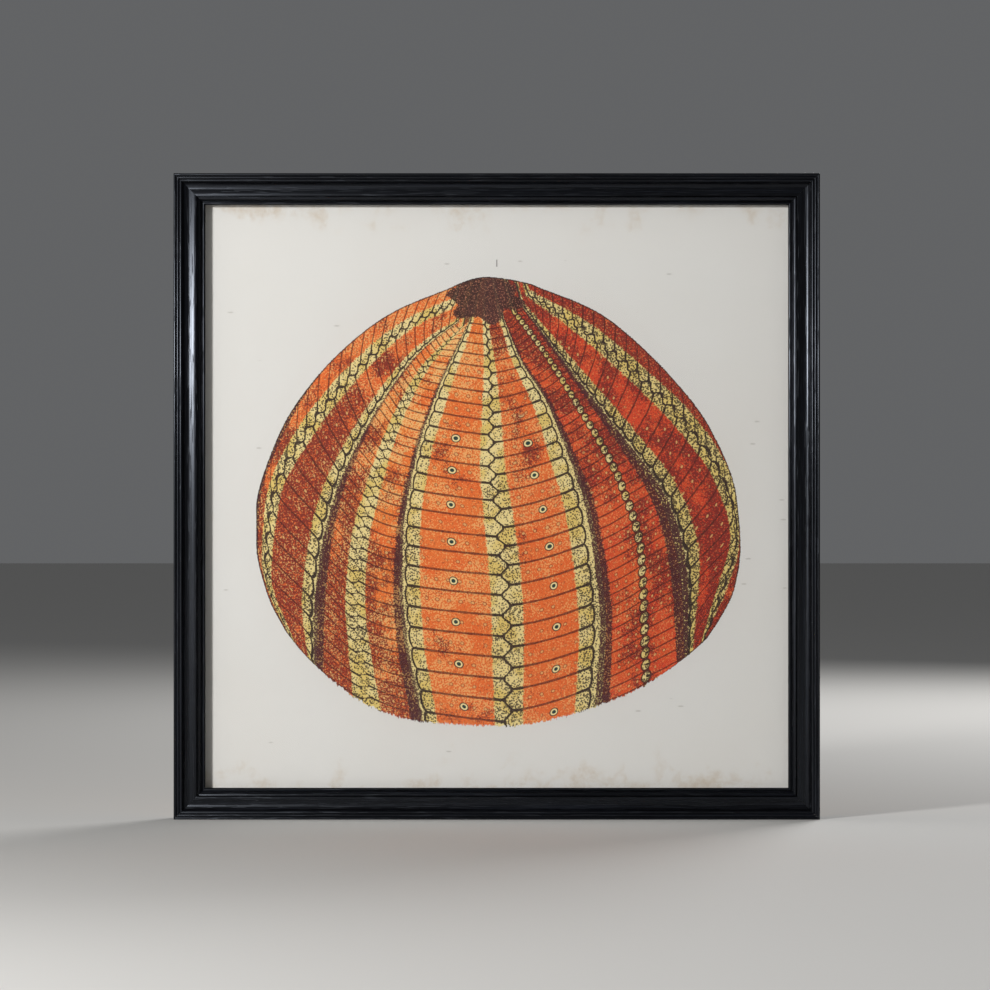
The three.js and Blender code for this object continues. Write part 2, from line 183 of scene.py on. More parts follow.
class PrintHardwareSettings(bpy.types.PropertyGroup):
    bar_height: length("Bar height", "Height of the rings' bars above the middle", 110.0)
    wire_radius: length("Wire radius", "Half the thickness of a ring's wire", 1.1)
    ring_half_width: length("Ring half width", "From a ring's middle to its wire", 7.0)
    ring_corner: length("Ring corner", "Bend between a ring's bar and its sides", 2.2)
    ring_side: length("Ring side", "From the bar to the middle of the ring's arch", 5.0)
    ring_gap: length("Ring gap", "Between the wire's two ends", 0.3)
    ring_lean: bpy.props.FloatProperty(
        name="Ring lean", description="How far a ring leans on the cover at rest",
        default=math.radians(4.3), subtype="ANGLE",
    )
    strap_width: length("Strap width", "Width of a hanger strap", 9.0)
    strap_thickness: length("Strap thickness", "Thickness of the strap's sheet", 0.8)
    strap_length: length("Strap length", "From the bar down to the strap's end", 35.0)
    strap_end_round: length("Strap end round", "Rounding of the strap's lower corners", 3.2)
    curl: bpy.props.FloatProperty(
        name="Curl", description="How far the strap curls round the bar",
        default=math.radians(290.0), subtype="ANGLE",
    )
    screw_upper: length("Upper screw", "From the bar down to the upper screw", 19.0)
    screw_lower: length("Lower screw", "From the bar down to the lower screw", 29.0)
    screw_clearance: length("Screw hole", "Radius of the holes for the screws", 1.8)
    shank_radius: length("Shank radius", "Half a screw's thickness", 1.5)
    shank_length: length("Shank length", "From under the head to the point", 13.0)
    screw_point: length("Screw point", "Length of the tapered point", 3.5)
    head_radius: length("Head radius", "Half the width of a screw's head", 3.1)
    head_rim: length("Head rim", "Height of the head's straight rim", 0.6)
    head_height: length("Head height", "Height of a screw's head", 1.9)
    recess_span: length("Recess span", "Length of the cross recess", 3.6)
    recess_width: length("Recess width", "Width of the cross recess", 0.85)
    recess_depth: length("Recess depth", "Depth of the cross recess", 1.1)
    cover_sag: length("Cover sag", "How unevenly the dust cover lies", 1.1)


# ---------------------------------------------------------------- modelling helpers


def deselect_all():
    if bpy.context.mode != "OBJECT":
        bpy.ops.object.mode_set(mode="OBJECT")
    bpy.ops.object.select_all(action="DESELECT")


def make_active(piece):
    deselect_all()
    piece.select_set(True)
    bpy.context.view_layer.objects.active = piece


def settle(piece):
    """Moves the object's place, turn and size into its mesh."""
    make_active(piece)
    bpy.ops.object.transform_apply(location=True, rotation=True, scale=True)


def name_piece(piece, name):
    piece.name = name
    piece.data.name = name
    return piece


def box_blank(name, low, high):
    deselect_all()
    low, high = Vector(low), Vector(high)
    bpy.ops.mesh.primitive_cube_add(size=1.0, location=(low + high) / 2, scale=high - low)
    piece = name_piece(bpy.context.active_object, name)
    settle(piece)
    return piece


def select_vertices(piece, test):
    """In edit mode, selects the vertices whose place passes the test."""
    mesh = bmesh.from_edit_mesh(piece.data)
    bpy.ops.mesh.select_mode(type="VERT")
    bpy.ops.mesh.select_all(action="DESELECT")
    for vertex in mesh.verts:
        vertex.select = test(vertex.co)
    mesh.select_flush(True)
    bmesh.update_edit_mesh(piece.data)


def shift_vertices(piece, test, shift):
    select_vertices(piece, test)
    bpy.ops.transform.translate(value=shift)


def cut_across(point, normal, **cuts):
    bpy.ops.mesh.select_all(action="SELECT")
    bpy.ops.mesh.bisect(plane_co=point, plane_no=normal, **cuts)


def apply_modifier(piece, kind, **values):
    make_active(piece)
    modifier = piece.modifiers.new(kind.title(), kind)
    for key, value in values.items():
        setattr(modifier, key, value)
    bpy.ops.object.modifier_apply(modifier=modifier.name)


def round_edges(piece, width, segments=2, angle=35.0):
    apply_modifier(
        piece, "BEVEL", width=width, segments=segments,
        limit_method="ANGLE", angle_limit=math.radians(angle),
    )


def smooth(piece, angle=30.0):
    make_active(piece)
    bpy.ops.object.shade_smooth_by_angle(angle=math.radians(angle))


def outward(piece):
    """Joins doubled vertices and turns every face outwards."""
    make_active(piece)
    bpy.ops.object.mode_set(mode="EDIT")
    bpy.ops.mesh.select_all(action="SELECT")
    bpy.ops.mesh.remove_doubles(threshold=NEAR)
    bpy.ops.mesh.normals_make_consistent(inside=False)
    if bmesh.from_edit_mesh(piece.data).calc_volume(signed=True) < 0:
        bpy.ops.mesh.flip_normals()
    bpy.ops.object.mode_set(mode="OBJECT")


def subtract(piece, cutter):
    apply_modifier(piece, "BOOLEAN", operation="DIFFERENCE", object=cutter, solver="EXACT")
    bpy.data.objects.remove(cutter, do_unlink=True)


def rod_blank(name, x, z, radius, near_y, far_y, sides):
    """A closed rod along Y."""
    deselect_all()
    bpy.ops.mesh.primitive_cylinder_add(
        vertices=sides, radius=radius, depth=far_y - near_y,
        location=(x, (near_y + far_y) / 2, z), rotation=(math.pi / 2, 0, 0),
    )
    piece = name_piece(bpy.context.active_object, name)
    settle(piece)
    return piece


def drill(piece, x, z, radius, near_y, far_y, sides):
    """Cuts a round hole along Y, 1 mm past both faces."""
    subtract(piece, rod_blank("hole", x, z, radius, near_y - MM, far_y + MM, sides))


def copy_piece(piece, name):
    twin = piece.copy()
    twin.data = piece.data.copy()
    bpy.context.collection.objects.link(twin)
    return name_piece(twin, name)


def paint_piece(piece, material):
    piece.data.materials.clear()
    piece.data.materials.append(material)


def finish_piece(piece, material, body, node):
    """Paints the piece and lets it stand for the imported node."""
    paint_piece(piece, material)
    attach(piece, body)
    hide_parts(node)


# ---------------------------------------------------------------- material helpers


class Wire:
    """A number in a node tree. Arithmetic on it adds Math nodes."""

    def __init__(self, tree, socket):
        self.tree = tree
        self.socket = socket

    def math(self, operation, *others):
        node = self.tree.nodes.new("ShaderNodeMath")
        node.operation = operation
        for index, value in enumerate((self, *others)):
            plug(self.tree, node.inputs[index], value)
        return Wire(self.tree, node.outputs[0])

    def __add__(self, other):
        return self.math("ADD", other)

    def __sub__(self, other):
        return self.math("SUBTRACT", other)

    def __rsub__(self, other):
        return (self * -1.0) + other

    def __mul__(self, other):
        return self.math("MULTIPLY", other)

    def __truediv__(self, other):
        return self.math("DIVIDE", other)

    __rmul__ = __mul__

    def size(self):
        return self.math("ABSOLUTE")

    def under(self, limit, soft):
        """1 well below the limit, 0 well above, changing smoothly over the width soft."""
        node = self.tree.nodes.new("ShaderNodeMapRange")
        node.interpolation_type = "SMOOTHSTEP"
        plug(self.tree, node.inputs["Value"], self)
        half = soft / 2
        plug(self.tree, node.inputs["From Min"], limit + half)
        plug(self.tree, node.inputs["From Max"], limit - half)
        return Wire(self.tree, node.outputs["Result"])

    def over(self, limit, soft):
        return 1.0 - self.under(limit, soft)

    def at_most(self, limit):
        return self.math("MINIMUM", limit)

    def at_least(self, limit):
        return self.math("MAXIMUM", limit)

    def either(self, other):
        """The larger of two shares: where one or the other is."""
        return self.at_least(other)

    def off_whole(self):
        """How far the number is from a whole one, 0 to 0.5."""
        return ((self + 0.5).math("FRACT") - 0.5).size()

    def far_from(self, other):
        """The distance, from two distances square to each other."""
        return (self * self + other * other).math("SQRT")


def plug(tree, socket, value):
    if isinstance(value, Wire):
        tree.links.new(value.socket, socket)
    elif isinstance(value, bpy.types.NodeSocket):
        tree.links.new(value, socket)
    else:
        socket.default_value = value


def rgba(colour):
    return (*colour[:3], 1.0)


class Paint:
    """A material and the nodes that make it."""

    def __init__(self, name):
        self.material = bpy.data.materials.new(name)
        self.material.use_nodes = True
        self.tree = self.material.node_tree
        self.shader = self.tree.nodes["Principled BSDF"]
        self.places = self.tree.nodes.new("ShaderNodeTexCoord").outputs["Object"]

    def set(self, **values):
        for key, value in values.items():
            name = key.replace("_", " ").title().replace("Ior", "IOR")
            self.shader.inputs[name].default_value = value
        return self

    def node(self, kind, **inputs):
        node = self.tree.nodes.new(f"ShaderNode{kind}")
        for name, value in inputs.items():
            plug(self.tree, node.inputs[name], value)
        return node

    def mapped(self, stretch=(1, 1, 1), shift=(0, 0, 0)):
        """The place that textures read, stretched and shifted."""
        node = self.node("Mapping", Vector=self.places, Scale=stretch, Location=shift)
        return node.outputs["Vector"]

    def noise(self, scale, detail=2.0, rough=0.5, **mapping):
        places = self.mapped(**mapping) if mapping else self.places
        node = self.node("TexNoise", Vector=places, Scale=scale, Detail=detail, Roughness=rough)
        return Wire(self.tree, node.outputs["Fac"])

    def cells(self, scale, **mapping):
        """(distance to the nearest random point, a random number for that point)"""
        places = self.mapped(**mapping) if mapping else self.places
        node = self.node("TexVoronoi", Vector=places, Scale=scale)
        split = self.node("SeparateColor", Color=node.outputs["Color"])
        return Wire(self.tree, node.outputs["Distance"]), Wire(self.tree, split.outputs[0])

    def parts(self, vector):
        split = self.node("SeparateXYZ", Vector=vector)
        return [Wire(self.tree, output) for output in split.outputs]

    def triple(self, name):
        """The three numbers of one of the mesh's own attributes."""
        source = self.node("Attribute")
        source.attribute_name = name
        return self.parts(source.outputs["Vector"])

    def mix(self, share, first, second):
        node = self.tree.nodes.new("ShaderNodeMix")
        node.data_type = "RGBA"
        plug(self.tree, node.inputs[0], share)
        for socket, value in ((node.inputs[6], first), (node.inputs[7], second)):
            colour = value if isinstance(value, bpy.types.NodeSocket) else rgba(value)
            plug(self.tree, socket, colour)
        return node.outputs[2]

    def link(self, name, value):
        plug(self.tree, self.shader.inputs[name], value)
        return self

    def bump(self, height, distance, strength=1.0):
        node = self.node("Bump", Strength=strength, Distance=distance, Height=height)
        return self.link("Normal", node.outputs["Normal"])


# ---------------------------------------------------------------- materials

KRAFT_DARK, KRAFT_LIGHT = linear(140, 102, 66), linear(198, 158, 112)
KRAFT_FLECK = linear(96, 66, 42)
BOARD_DARK, BOARD_LIGHT = linear(120, 86, 56), linear(168, 130, 90)
SPACER_BLACK, RUBBER_BLACK = linear(16, 16, 17), linear(34, 34, 36)
PLAIN_STEEL = linear(150, 152, 156)
STRAP_ZINC, WIRE_ZINC = linear(186, 188, 190), linear(192, 194, 197)
SCREW_ZINC = linear(178, 180, 182)


def darker(colour, share):
    return [part * share for part in colour]


def stained_wood(name, settings, grain_axis):
    """Black stained wood with its open grain along one axis."""
    paint = Paint(name).set(specular_ior_level=0.36, specular_tint=(0.8, 0.87, 1.0, 1.0))
    along, across = 9.0, 900.0

    def grain(wide, long, **noise):
        stretch = [across * wide] * 3
        stretch[grain_axis] = along * long
        return paint.noise(1.0, stretch=stretch, **noise)

    fibre = grain(1.0, 1.0, detail=3.0, rough=0.6)
    figure = grain(0.3, 0.6, shift=(0.3, 0.1, 0.7))
    pores = grain(1.3, 5.0, detail=1.0, shift=(0.9, 0.2, 0.4)).over(0.62, 0.12)
    thin = (fibre * 0.6 + figure * 0.4).over(0.56, 0.16)
    paint.link("Base Color", paint.mix(thin * 0.75, settings.stain, settings.worn))
    paint.link("Roughness", fibre * 0.2 + pores * 0.25 + 0.17)
    paint.bump(fibre * 0.55 + figure * 0.45 - pores * 0.7, 0.16 * MM, 0.5)
    return paint.material


def steel(name, colour, rough, speck):
    paint = Paint(name).set(metallic=1.0)
    cloud = paint.noise(420.0, detail=3.0)
    _, tone = paint.cells(speck)
    paint.link("Base Color", paint.mix(tone * 0.35 + cloud * 0.3, colour, darker(colour, 0.62)))
    paint.link("Roughness", cloud * 0.2 + rough)
    paint.bump(paint.noise(1600.0), 0.04 * MM, 0.5)
    return paint.material


def glass_pane(name):
    """Clear picture glass: a faint sheen over what lies behind it."""
    paint = Paint(name)
    tree = paint.tree
    tree.nodes.clear()
    output = paint.node("OutputMaterial")
    mix = paint.node("MixShader")
    clear = paint.node("BsdfTransparent", Color=(0.99, 0.99, 0.99, 1.0))
    sheen = paint.node("BsdfGlossy", Roughness=0.03)
    fresnel = paint.node("Fresnel", IOR=1.2)
    for index, node in enumerate((fresnel, clear, sheen)):
        tree.links.new(node.outputs[0], mix.inputs[index])
    tree.links.new(mix.outputs[0], output.inputs[0])
    return paint.material


def kraft(name):
    paint = Paint(name).set(roughness=0.82)
    fibre = paint.noise(260.0, detail=6.0, rough=0.75, stretch=(1, 1, 3.2))
    cloud = paint.noise(14.0, detail=4.0)
    distance, tone = paint.cells(900.0)
    fleck = distance.under(0.22, 0.1) * tone.over(0.82, 0.02)
    rib = paint.noise(1.0, detail=3.0, rough=0.7, stretch=(700.0, 700.0, 12.0))
    base = paint.mix(fibre * 0.5 + cloud * 0.3 + rib * 0.2, KRAFT_DARK, KRAFT_LIGHT)
    paint.link("Base Color", paint.mix(fleck * 0.6, base, KRAFT_FLECK))
    paint.bump(fibre * 0.4 + rib * 0.5 + cloud * 1.5, 0.3 * MM, 0.6)
    return paint.material


def fibreboard(name):
    paint = Paint(name).set(roughness=0.8)
    fibre = paint.noise(700.0, detail=5.0, rough=0.7)
    cloud = paint.noise(30.0)
    paint.link("Base Color", paint.mix(fibre * 0.7 + cloud * 0.3, BOARD_DARK, BOARD_LIGHT))
    paint.bump(fibre, 0.2 * MM, 0.6)
    return paint.material


def dark_moulding(name, colour, rough, grain):
    """Matt black plastic or rubber."""
    paint = Paint(name)
    cloud = paint.noise(grain, detail=4.0, rough=0.65)
    paint.link("Base Color", paint.mix(cloud, colour, [part * 1.9 + 0.004 for part in colour]))
    paint.link("Roughness", cloud * 0.2 + rough)
    paint.bump(cloud, 0.12 * MM, 0.5)
    return paint.material


def floor_paint(name, colour):
    paint = Paint(name).set(roughness=0.75)
    cloud = paint.noise(3.0, detail=3.0)
    paint.link("Base Color", paint.mix(cloud * 0.2, colour, darker(colour, 0.94)))
    return paint.material


# ---------------------------------------------------------------- the drawing

# Seams of the drawn shell from its left edge to its right, each from the crown to the foot.
# A place is millimetres right of and above the sheet's middle. Odd ones run between two columns
# of plates of the same kind, even ones between two kinds.
SEAMS = (
    ((-35, 165.5), (-84, 144.5), (-136, 101.5), (-172, 49), (-190, -8), (-190, -38),
     (-181, -78), (-167, -106)),
    ((-34, 152), (-69, 135), (-115, 94), (-153, 46), (-176, 1), (-182, -58), (-161, -114)),
    ((-30, 138), (-59, 115.5), (-90, 75), (-124, 6), (-135, -39), (-141, -91), (-142, -135)),
    ((-27, 134), (-58, 100), (-83, 51), (-98, 5), (-109, -39), (-112, -85), (-102, -165)),
    ((-22, 138), (-49, 80), (-66, 29), (-76, -29), (-77, -68), (-74, -108), (-60, -178.5)),
    ((-9, 139), (-5, 90), (-4, 29), (1, -15), (7, -70), (8.5, -110), (9, -182)),
    ((6, 139), (20, 107), (39, 78), (62, 25), (74, -11), (86, -100), (83, -165)),
    ((14, 145), (39, 111), (67, 66), (86, 34), (100, 4), (114, -48), (118, -149)),
    ((20, 150), (64, 89.5), (97, 45), (124, 6), (136, -22), (146, -75), (148, -128)),
    ((24, 160), (56, 140), (104, 102), (146, 60), (178, 14), (189, -30), (163, -115)),
    ((30, 166.5), (79, 146), (135.5, 97), (169, 53), (189, 2), (192.5, -40),
     (188, -72), (176, -97), (166, -112)),
)
CROWN_TOP = ((-33.5, 166.5), (-20, 171.5), (-8, 173.5), (10, 171.5), (28.5, 167.5))

# Each column of plates between two seams. Shares are of the column's width, from its inner seam:
# the yellow beside the seam, the seam's zigzag (0 where it is a row of beads), where the outer
# cells, the plates' rounded ends and the purple band begin, and how far the ends bulge. Slant is
# in plates across the column. Red, stipple and mottle are amounts of ink, 0 for little and 1 for
# much, and some go past either. A pair is a value at the crown and at the foot, and three or more
# are values at equal steps down the column.
COLUMN_KEYS = ("seam", "zig", "cells", "ends", "bulge", "band", "slant", "red", "stipple", "mottle")
# A share past the column's outer side, for what never begins
NONE = 9.0
COLUMNS = (
    (0.34, 0.09, NONE, NONE, 0.0, (1.4, 1.1, 0.8, 0.75, 0.8), (1.0, 1.8),
     0.25, (0.3, 1.2), (0.25, 0.7, 1.1)),
    (0.17, 0.05, (0.76, 0.7), (0.86, 0.82), 0.06, (1.0, 0.98, 0.93, 0.91), -1.5,
     (0.25, 0.5), (0.3, 1.1), (0.4, 1.1, 1.3)),
    (0.27, 0.08, NONE, NONE, 0.0, (0.94, 0.93, 0.87, 0.84), -0.3,
     (-0.6, 0.4), (0.15, 0.9), (0.2, 0.9, 1.3)),
    (0.27, 0.08, NONE, NONE, 0.0, (0.97, 0.95, 0.9, 0.85), 0.0,
     (-0.7, 0.2), (0.15, 0.9), (0.15, 0.6, 0.95)),
    (0.145, 0.035, (0.66, 0.77), (0.84, 0.885), 0.04, (0.95, 0.955), 0.35,
     (0.0, 0.25), (0.0, 0.9), (0.25, 0.3, 0.4)),
    (0.155, 0.035, (0.67, 0.66), (0.88, 0.79), 0.04, (0.985, 0.9), 0.35,
     0.35, (0.05, 1.0), (0.65, 0.3, 0.3)),
    (0.12, 0.0, NONE, NONE, 0.0, (0.97, 0.86), 0.0, 0.75, (0.4, 0.9), (1.1, 0.5, 0.45)),
    (0.12, 0.0, NONE, NONE, 0.0, (0.92, 0.76), -0.6, 0.85, (0.6, 1.1), (1.05, 0.65, 0.6)),
    (0.2, 0.06, (0.7, 0.66), (0.84, 0.78), 0.05, (0.97, 0.84), -2.4,
     (0.85, 1.1), (1.0, 2.2), (0.8, 0.7, 1.2)),
    ((0.36, 0.36, 0.36, 0.6, 1.1, 0.4, 0.0), 0.1, NONE, NONE, 0.0, NONE, (1.0, 1.6),
     0.85, (0.8, 1.9), 1.05),
)
# The size of a plate along its column, at the crown and at the foot, in millimetres
WIDE_PITCH = (7.2, 17.0)
NARROW_PITCH = (4.6, 9.4)

# The sheet's mesh: rows of faces down the shell and over the crown, faces across a column, and
# rings of bare paper round the shell
ART_ROWS = 200
CROWN_ROWS = 7
ACROSS = 8
SHEET_STEPS = 3
# In the bake map, the share of its height kept for the sheet's sides and back
MAP_STRIP = 0.025

# Fine points of the drawing, in millimetres from the sheet's middle
CROWN_MIDDLE, CROWN_HALF = (-9.0, 157.0), (27.0, 18.5)
CROWN_LOBES, LOBE_DEPTH = 6.0, 0.17
TICK_HEIGHT, TICK_HALF_LENGTH = 184.0, 2.8
# The rings on the two middle columns, from outside in, and the plate where they start
PORE_RINGS = ((3.3, "line"), (2.6, "pale"), (1.5, "pore"))
FIRST_PORE_PLATE = 8.5
# Metres above the middle: below this the drawing has no outline, and its edge is ragged
OUTLINE_END = -0.14


def through(points, places):
    """A smooth line through evenly numbered points that never overshoots them."""
    points = np.asarray(points, float)
    step = np.diff(points, axis=0)
    before, after = step[:-1], step[1:]
    turns = before * after <= 0
    total = np.where(turns, 1.0, before + after)
    inner = np.where(turns, 0.0, 2.0 * before * after / total)
    slope = np.concatenate([step[:1], inner, step[-1:]])
    cell = np.clip(places.astype(int), 0, len(points) - 2)
    part = (places - cell)[:, None]
    start, end = points[cell], points[cell + 1]
    square, cube = part**2, part**3
    return (
        start * (2 * cube - 3 * square + 1)
        + slope[cell] * (cube - 2 * square + part)
        + end * (3 * square - 2 * cube)
        + slope[cell + 1] * (cube - square)
    )


def lengths_along(line):
    """The distance along the line to each of its points."""
    return np.concatenate([[0.0], np.cumsum(np.linalg.norm(np.diff(line, axis=0), axis=1))])


def evenly_along(points, count):
    """(count points at equal distances along the smooth line, its length)"""
    fine = through(points, np.linspace(0, len(points) - 1, 400))
    run = lengths_along(fine)
    wanted = np.linspace(0, run[-1], count)
    return np.stack([np.interp(wanted, run, fine[:, axis]) for axis in (0, 1)], axis=1), run[-1]


def plate_numbers(run, total, pitch):
    """(how many plates lie above each place, the size of a plate there)"""
    first, last = pitch
    size = last - (last - first) * (1 - run) ** 2
    steps = np.diff(run, prepend=0.0) * total / size
    return np.cumsum(steps), size


def shell_grid():
    """The drawn shell's points, row by row from the crown's top, and each seam's length."""
    seams, lengths = zip(*(evenly_along(points, ART_ROWS + 1) for points in SEAMS))
    seams = np.stack(seams)
    places = np.linspace(0, len(SEAMS) - 1, (len(SEAMS) - 1) * ACROSS + 1)
    body = np.stack([through(seams[:, row], places) for row in range(ART_ROWS + 1)])
    arc = through(CROWN_TOP, places / places[-1] * (len(CROWN_TOP) - 1))
    share = np.linspace(0, 1, CROWN_ROWS, endpoint=False)[:, None, None]
    crown = arc * (1 - share) + body[0] * share
    return np.concatenate([crown, body]), lengths


def by_run(value, run):
    """A column's fact for every row, from one value, a pair or a longer list."""
    if not isinstance(value, tuple):
        return np.full((len(run), 1), value)
    place = np.sqrt(run) if len(value) == 2 else run
    return np.interp(place, np.linspace(0, 1, len(value)), value)[:, None]


def column_values(grid, lengths):
    """The numbers that the ink reads, for each column: name to an array (row, place across, 3)."""
    run = np.clip(np.arange(len(grid)) - CROWN_ROWS, 0, None) / ART_ROWS
    values = []
    for index, facts in enumerate(COLUMNS):
        fact = {key: by_run(value, run) for key, value in zip(COLUMN_KEYS, facts)}
        starts_outside = index % 2 == 0
        inner = index + 1 if starts_outside else index
        wide = inner % 4 == 1
        numbers, size = plate_numbers(run, lengths[inner], WIDE_PITCH if wide else NARROW_PITCH)
        across = np.linspace(0, 1, ACROSS + 1)
        if starts_outside:
            across = 1 - across
        first, last = grid[:, index * ACROSS], grid[:, (index + 1) * ACROSS]
        width = np.linalg.norm(last - first, axis=1)
        side = -1.0 if starts_outside else 1.0
        shape = (len(grid), ACROSS + 1)

        def stack(*parts):
            return np.stack([np.broadcast_to(part, shape) for part in parts], axis=2)

        values.append({
            "place": stack(across[None, :], numbers[:, None], width[:, None]),
            "plates": stack(size[:, None], side, fact["zig"]),
            "fields": stack(fact["seam"], fact["cells"], fact["band"]),
            "ends": stack(fact["ends"], fact["bulge"], fact["slant"]),
            "tones": stack(fact["red"], fact["stipple"], fact["mottle"]),
        })
    return values


def sheet_ring(outline, low, high):
    """The point of the sheet's border outwards of each outline point, corners included."""
    middle = np.array([(low.x + high.x) / 2, (low.z + high.z) / 2])
    half = np.array([(high.x - low.x) / 2, (high.z - low.z) / 2])
    away = outline - middle
    border = middle + away / np.abs(away / half).max(axis=1)[:, None]
    for corner in ((-1, -1), (-1, 1), (1, -1), (1, 1)):
        place = middle + half * corner
        border[np.linalg.norm(border - place, axis=1).argmin()] = place
    return border


def print_mesh(low, high):
    """The sheet as one closed mesh: the shell's plates, bare paper round them, sides, back."""
    grid, lengths = shell_grid()
    rows, columns = grid.shape[:2]
    number = np.arange(rows * columns).reshape(rows, columns)
    loop = np.concatenate([
        number[:, 0], number[-1, 1:], number[-2::-1, -1], number[0, -2:0:-1],
    ])
    flat = grid.reshape(-1, 2) * MM
    outline = flat[loop]
    border = sheet_ring(outline, low, high)

    points = [(x, low.y, z) for x, z in flat]
    rings = [loop]
    for step in range(1, SHEET_STEPS + 1):
        share = step / SHEET_STEPS
        rings.append(np.arange(len(loop)) + len(points))
        points += [(x, low.y, z) for x, z in outline * (1 - share) + border * share]
    rings.append(np.arange(len(loop)) + len(points))
    points += [(x, high.y, z) for x, z in border]

    shell_faces = [
        (upper[place], lower[place], lower[place + 1], upper[place + 1])
        for upper, lower in zip(number, number[1:]) for place in range(columns - 1)
    ]
    paper_faces = [
        (inner[i], outer[i], outer[(i + 1) % len(loop)], inner[(i + 1) % len(loop)])
        for inner, outer in zip(rings, rings[1:]) for i in range(len(loop))
    ]
    mesh = bpy.data.meshes.new("print_sheet")
    faces = [[int(i) for i in face] for face in (*shell_faces, *paper_faces, rings[-1][::-1])]
    mesh.from_pydata(points, [], faces)
    add_ink_values(mesh, grid, lengths, rows - 1, columns - 1)
    add_edge_values(mesh, flat, outline, rows, columns)
    add_bake_map(mesh, low, high)
    return mesh


def add_ink_values(mesh, grid, lengths, row_faces, column_faces):
    values = column_values(grid, lengths)
    corners = ((0, 0), (1, 0), (1, 1), (0, 1))
    for name in values[0]:
        table = np.zeros((len(mesh.loops), 3), np.float32)
        shell = table[: row_faces * column_faces * 4].reshape(row_faces, column_faces, 4, 3)
        for index, column in enumerate(values):
            first = index * ACROSS
            for corner, (down, along) in enumerate(corners):
                part = column[name][down:down + row_faces, along:along + ACROSS]
                shell[:, first:first + ACROSS, corner] = part
        layer = mesh.attributes.new(name, "FLOAT_VECTOR", "CORNER")
        layer.data.foreach_set("vector", table.ravel())


def add_edge_values(mesh, flat, outline, rows, columns):
    """How far inside the drawing each point is, in millimetres, and which column it is in."""
    table = np.zeros((len(mesh.vertices), 3), np.float32)
    batch = 4000
    for start in range(0, len(flat), batch):
        part = flat[start:start + batch]
        apart = np.linalg.norm(part[:, None] - outline[None], axis=2)
        table[start:start + len(part), 0] = apart.min(axis=1)
    outside = -0.02
    table[len(flat):, 0] = outside
    table /= MM
    table[: len(flat), 1] = np.tile(np.arange(columns) / ACROSS, rows)
    layer = mesh.attributes.new("edge", "FLOAT_VECTOR", "POINT")
    layer.data.foreach_set("vector", table.ravel())


def add_bake_map(mesh, low, high):
    """A flat map: the front fills it but for a strip, which holds the sides and the back."""
    places = np.empty(len(mesh.vertices) * 3)
    mesh.vertices.foreach_get("co", places)
    places = places.reshape(-1, 3)
    share = (places[:, [0, 2]] - [low.x, low.z]) / [high.x - low.x, high.z - low.z]
    corner_vertex = np.empty(len(mesh.loops), int)
    mesh.loops.foreach_get("vertex_index", corner_vertex)
    uv = share[corner_vertex]
    uv[:, 1] = MAP_STRIP + (1 - MAP_STRIP) * uv[:, 1]
    for face in mesh.polygons:
        if len(face.vertices) > 4 or any(places[v, 1] > low.y + NEAR for v in face.vertices):
            for corner in face.loop_indices:
                uv[corner] = share[corner_vertex[corner]] * 0.8 * MAP_STRIP
    layer = mesh.uv_layers.new(name="OFBake")
    layer.data.foreach_set("uv", uv.astype(np.float32).ravel())


def crown_depth(x, z):
    """How far inside the dark lobed patch at the shell's top, roughly in millimetres."""
    side = (x / MM - CROWN_MIDDLE[0]) / CROWN_HALF[0]
    up = (z / MM - CROWN_MIDDLE[1]) / CROWN_HALF[1]
    from_middle = side.far_from(up)
    lobe = (up.math("ARCTAN2", side) * CROWN_LOBES).math("SINE") * up.under(0.2, 0.4)
    return (1.0 - lobe * LOBE_DEPTH - from_middle) * 20.0


def bare_paper(paint, art, x, z):
    """Age marks near the top and bottom edges, faint tone, a few specks and the tick."""
    age = paint.noise(34.0, detail=5.0, rough=0.7)
    near_edge = z.size().over(0.212, 0.05) * 0.2 + x.size().over(0.225, 0.03) * 0.06
    foxed = (age + near_edge).over(0.76, 0.26)
    sheet = paint.mix(foxed * 0.5, art.paper, art.stained_paper)
    sheet = paint.mix(paint.noise(9.0) * 0.12, sheet, art.stained_paper)
    distance, tone = paint.cells(1.0, stretch=(34.0, 34.0, 110.0))
    specks = distance.under(0.075, 0.05) * tone.over(0.6, 0.02)
    sheet = paint.mix(specks * 0.3, sheet, art.speck)
    tick = (x / MM).size().under(0.5, 0.4)
    tick = tick * (z / MM - TICK_HEIGHT).size().under(TICK_HALF_LENGTH, 0.8)
    return paint.mix(tick * 0.6, sheet, art.line)


